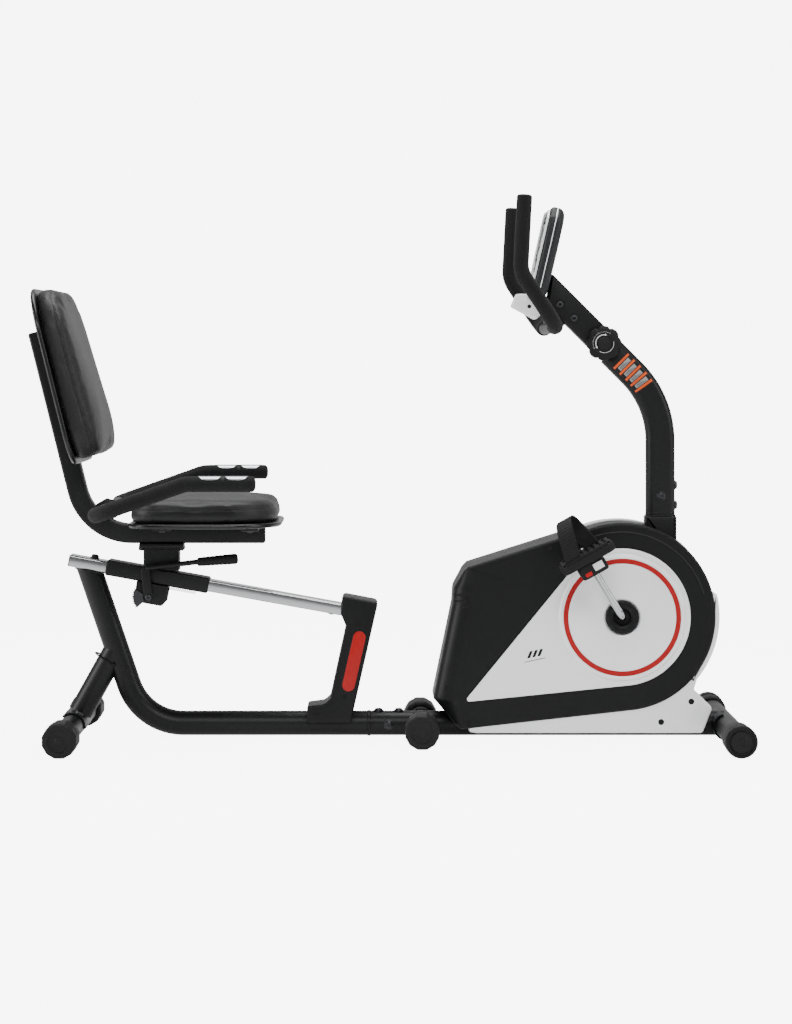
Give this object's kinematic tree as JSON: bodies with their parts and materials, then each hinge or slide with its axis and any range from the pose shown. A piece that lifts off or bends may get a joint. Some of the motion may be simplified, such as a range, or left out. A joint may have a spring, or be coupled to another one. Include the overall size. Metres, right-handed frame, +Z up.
{
  "type": "recumbent exercise bike",
  "caption": "Low bike trainer: seat with backrest sliding on a sloped rail, enclosed flywheel drive with pedals, curved post with handlebar and display.",
  "frame": {"origin": "on the floor, under the middle of the bike's bounding box", "axes": "+X to the front (towards the pedals), +Y to the rider's left, +Z up"},
  "size_m": [1.4802, 0.601, 1.1213],
  "materials": {
    "black_paint": "satin black powder coat",
    "black_plastic": "fine-grained satin",
    "silver_plastic": "metallic silver, soft gloss",
    "steel": "turned steel",
    "chrome": "bright plated",
    "black_rubber": "moulded, matt",
    "foam": "closed-cell foam, matt",
    "leatherette": "black leatherette, soft sheen",
    "display": "display window, clear gloss",
    "grey_plastic": "satin"
  },
  "bodies": {
    "root": {"rear_frame": "black_paint", "front_frame": "black_paint", "seat_rail": "chrome", "rail_post": "black_paint", "rail_shroud_right": "black_plastic", "rail_shroud_left": "black_plastic", "rear_stabilizer": "black_paint", "front_stabilizer": "black_paint", "housing_right": "black_plastic", "housing_left": "black_plastic", "side_panel_right": "silver_plastic", "side_panel_left": "silver_plastic", "hub_cover_right": "black_plastic", "hub_cover_left": "black_plastic", "base_shroud_right": "silver_plastic", "base_shroud_left": "silver_plastic", "crank_bearing_right": "steel", "crank_bearing_left": "steel", "drive_belt": "black_rubber", "flywheel_axle": "steel", "tension_motor": "black_plastic", "handlebar_post": "black_paint", "post_boot": "black_plastic"},
    "rear_cap_right": {"rear_cap_right": "black_plastic"},
    "rear_cap_left": {"rear_cap_left": "black_plastic"},
    "middle_cap_right": {"middle_cap_right": "black_plastic"},
    "middle_cap_left": {"middle_cap_left": "black_plastic"},
    "front_wheel_right": {"front_wheel_right": "black_plastic"},
    "front_wheel_left": {"front_wheel_left": "black_plastic"},
    "crank": {"crank": "chrome", "crank_pulley": "steel"},
    "flywheel": {"flywheel": "steel"},
    "magnet_brake": {"magnet_brake": "steel"},
    "pedal_right": {"pedal_right": "black_rubber", "pedal_strap_right": "black_rubber"},
    "pedal_left": {"pedal_left": "black_rubber", "pedal_strap_left": "black_rubber"},
    "neck": {"console_neck": "black_paint", "upper_handlebar": "black_paint", "upper_grip_right": "foam", "upper_grip_left": "foam", "handlebar_clamp": "silver_plastic", "console_case": "black_plastic", "console_screen": "display"},
    "button_mode": {"button_mode": "grey_plastic"},
    "button_reset": {"button_reset": "grey_plastic"},
    "angle_knob": {"angle_knob": "black_plastic"},
    "seat": {"seat_carriage": "black_paint", "clamp_bracket": "black_paint", "lever_spring": "chrome", "seat_tube": "black_paint", "seat_pan": "black_plastic", "seat_cushion": "leatherette", "back_pan": "black_plastic", "back_cushion": "leatherette", "seat_handlebar": "black_paint", "seat_grip_right": "foam", "seat_grip_left": "foam"},
    "lever": {"clamp_lever": "black_paint", "lever_grip": "black_rubber"}
  },
  "joints": [
    {"name": "rear_cap_right_turn", "type": "hinge", "parent": "root", "child": "rear_cap_right", "pos_m": [-0.645, -0.2328, 0.0345], "axis": [0, 1, 0], "continuous": true},
    {"name": "middle_cap_right_turn", "type": "hinge", "parent": "root", "child": "middle_cap_right", "pos_m": [0.0767, -0.1158, 0.0345], "axis": [0, 1, 0], "continuous": true},
    {"name": "front_wheel_right_turn", "type": "hinge", "parent": "root", "child": "front_wheel_right", "pos_m": [0.7071, -0.2703, 0.033], "axis": [0, 1, 0], "continuous": true},
    {"name": "rear_cap_left_turn", "type": "hinge", "parent": "root", "child": "rear_cap_left", "pos_m": [-0.645, 0.2328, 0.0345], "axis": [0, 1, 0], "continuous": true},
    {"name": "middle_cap_left_turn", "type": "hinge", "parent": "root", "child": "middle_cap_left", "pos_m": [0.0767, 0.1158, 0.0345], "axis": [0, 1, 0], "continuous": true},
    {"name": "front_wheel_left_turn", "type": "hinge", "parent": "root", "child": "front_wheel_left", "pos_m": [0.7071, 0.2703, 0.033], "axis": [0, 1, 0], "continuous": true},
    {"name": "crank_turn", "type": "hinge", "parent": "root", "child": "crank", "pos_m": [0.487, 0, 0.263], "axis": [0, 1, 0], "continuous": true},
    {"name": "flywheel_spin", "type": "hinge", "parent": "root", "child": "flywheel", "pos_m": [0.25, 0, 0.215], "axis": [0, 1, 0], "continuous": true},
    {"name": "magnet_brake_swing", "type": "hinge", "parent": "root", "child": "magnet_brake", "pos_m": [0.27, 0, 0.0712], "axis": [0, -1, 0], "range_deg": [0, 5]},
    {"name": "pedal_right_turn", "type": "hinge", "parent": "crank", "child": "pedal_right", "pos_m": [0.40647, -0.138, 0.39544], "axis": [0, 1, 0], "continuous": true},
    {"name": "pedal_left_turn", "type": "hinge", "parent": "crank", "child": "pedal_left", "pos_m": [0.56752, 0.138, 0.13056], "axis": [0, 1, 0], "continuous": true},
    {"name": "neck_tilt", "type": "hinge", "parent": "root", "child": "neck", "pos_m": [0.4545, 0, 0.8245], "axis": [0, 1, 0], "range_deg": [-20, 15]},
    {"name": "angle_knob_turn", "type": "hinge", "parent": "root", "child": "angle_knob", "pos_m": [0.4545, 0, 0.8245], "axis": [0, 1, 0], "continuous": true},
    {"name": "button_mode_press", "type": "slide", "parent": "neck", "child": "button_mode", "axis": [0.9848, 0, -0.1736], "range_m": [0, 0.0013], "stiffness_N_per_m": 400, "springref_m": -0.0008},
    {"name": "button_reset_press", "type": "slide", "parent": "neck", "child": "button_reset", "axis": [0.9848, 0, -0.1736], "range_m": [0, 0.0013], "stiffness_N_per_m": 400, "springref_m": -0.0008},
    {"name": "seat_slide", "type": "slide", "parent": "root", "child": "seat", "axis": [0.984, 0, -0.1779], "range_m": [-0.005, 0.25]},
    {"name": "lever_lift", "type": "hinge", "parent": "seat", "child": "lever", "pos_m": [-0.48702, -0.045, 0.29998], "axis": [0, -1, 0], "range_deg": [0, 14], "stiffness_Nm_per_rad": 2, "springref_deg": -8.59}
  ],
  "couplings": [
    {"joint": "crank_turn", "follows": "flywheel_spin", "ratio": 0.18182}
  ]
}
